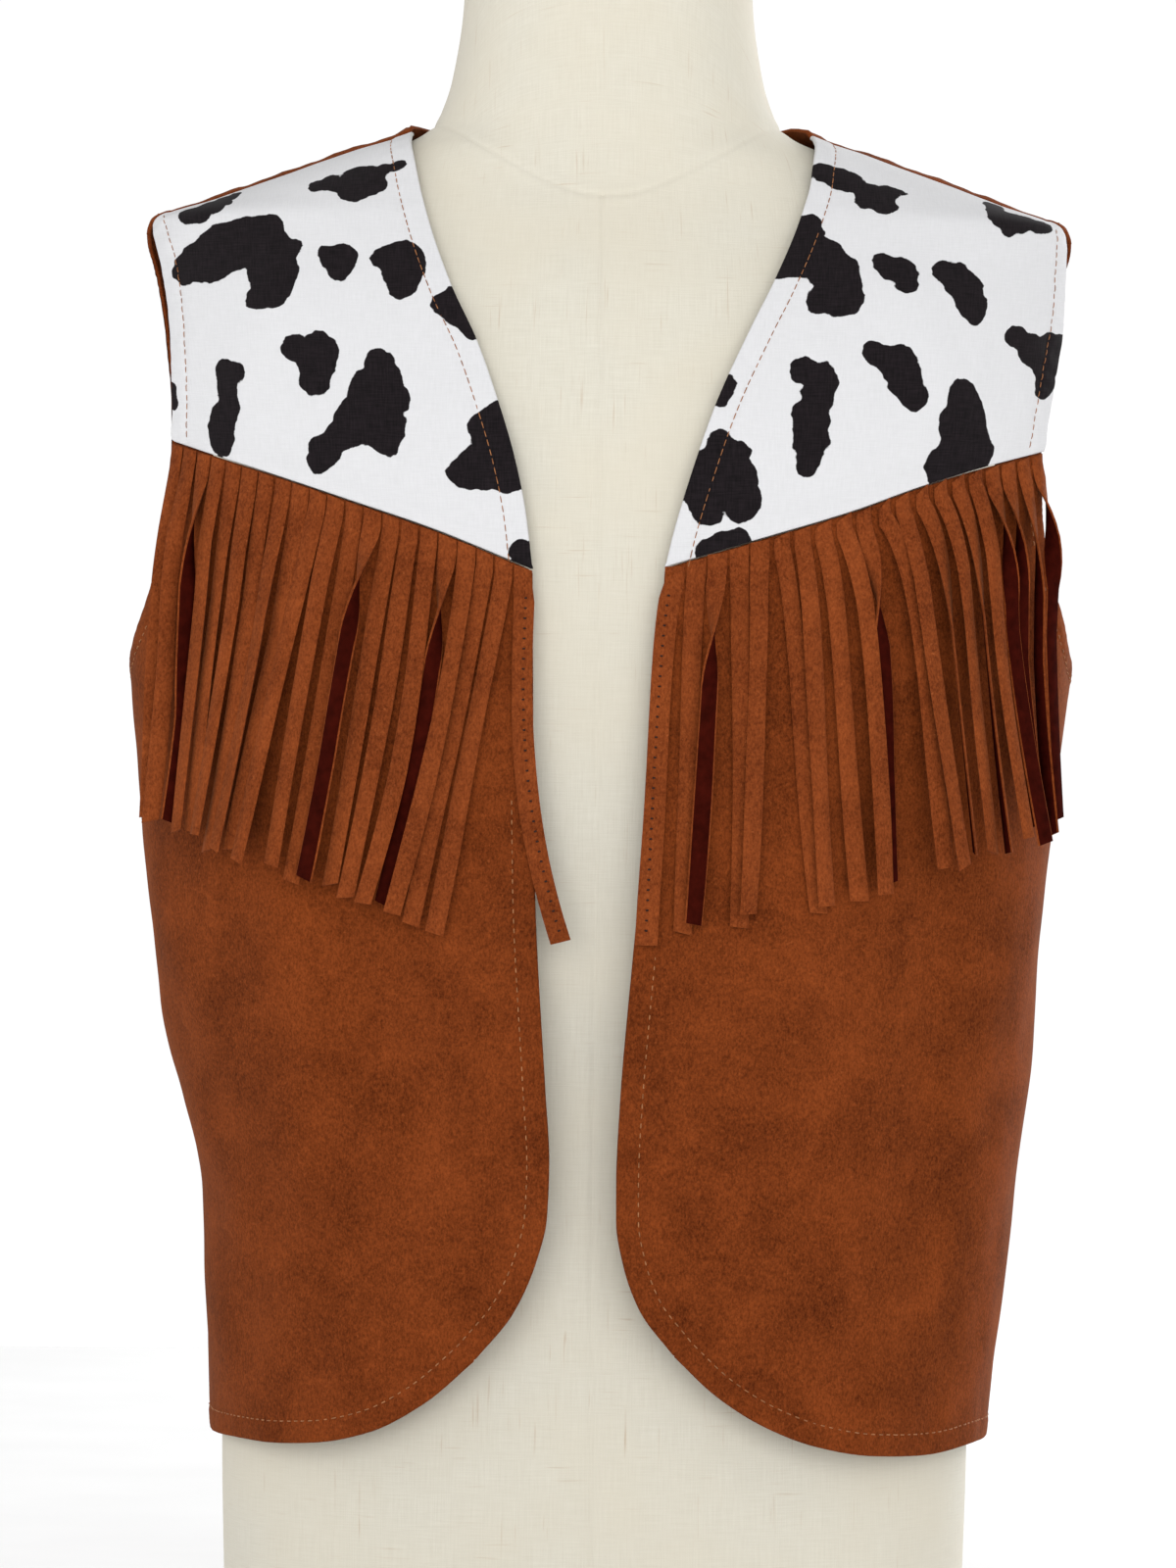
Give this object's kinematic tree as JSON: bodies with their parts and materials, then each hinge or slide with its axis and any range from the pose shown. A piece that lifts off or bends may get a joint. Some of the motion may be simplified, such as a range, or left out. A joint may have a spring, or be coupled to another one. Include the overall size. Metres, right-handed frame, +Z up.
{
  "type": "western vest on a linen dress form",
  "caption": "Child's open western vest in brown suede cloth with cow-print shoulder yokes and hanging fringe, worn by a limbless linen dress form.",
  "frame": {"origin": "middle of the dress form's flat base", "axes": "+Z up, the vest faces -Y, +X is the wearer's left"},
  "size_m": [0.2964, 0.1987, 0.578],
  "materials": {
    "linen": "matt unbleached linen, plain weave with slubs",
    "suede": "soft brushed suede cloth with a short nap and a smooth maroon reverse",
    "cotton": "plain woven white cotton printed with black cow spots"
  },
  "bodies": {
    "root": {"dress_form": "linen", "back": "suede", "front_right": "suede", "front_left": "suede", "yoke_right": "cotton", "yoke_left": "cotton", "fringe_right": "suede", "fringe_left": "suede"}
  },
  "joints": []
}
